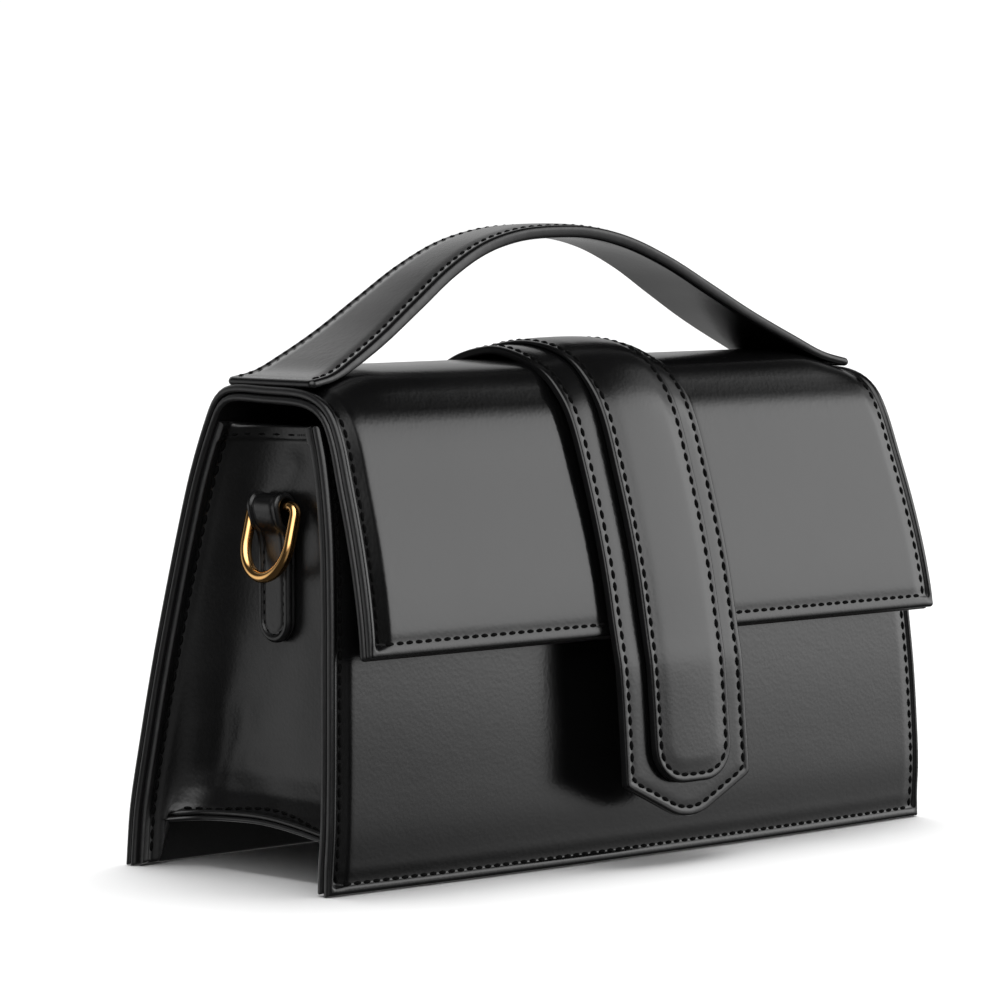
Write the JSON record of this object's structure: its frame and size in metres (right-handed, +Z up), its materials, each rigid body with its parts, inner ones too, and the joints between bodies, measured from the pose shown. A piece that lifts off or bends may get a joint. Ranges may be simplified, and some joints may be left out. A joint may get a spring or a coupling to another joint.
{
  "type": "crossbody bag",
  "caption": "Structured leather flap bag with an arched top handle, a padded closing tab over the front flap, inset soft side walls and hanging metal D-rings for a shoulder strap.",
  "frame": {"origin": "under the middle of the bag's box, on the surface it stands on", "axes": "+X along the bag's width to the right seen from the flap side, the flap side faces -Y, +Z up"},
  "size_m": [0.242, 0.1108, 0.1827],
  "materials": {
    "leather": "smooth black leather with a soft sheen, painted edges",
    "soft_leather": "smooth black leather, thinner and softer",
    "gold_metal": "polished gold-coloured plating"
  },
  "bodies": {
    "bag": {"back_flap_shell": "leather", "front_panel": "leather", "strap_base": "leather", "strap_pad": "leather", "handle": "leather", "gusset_left": "soft_leather", "gusset_right": "soft_leather", "bottom_panel": "soft_leather", "ring_tab_left": "soft_leather", "ring_tab_right": "soft_leather"},
    "ring_left": {"d_ring_left": "gold_metal"},
    "ring_right": {"d_ring_right": "gold_metal"}
  },
  "joints": [
    {"name": "ring_left_swing", "type": "hinge", "parent": "bag", "child": "ring_left", "pos_m": [-0.1037, 0.00805, 0.1046], "axis": [0, 1, 0], "range_deg": [-9, 146]},
    {"name": "ring_right_swing", "type": "hinge", "parent": "bag", "child": "ring_right", "pos_m": [0.1037, 0.00805, 0.1046], "axis": [0, -1, 0], "range_deg": [-9, 146]}
  ]
}
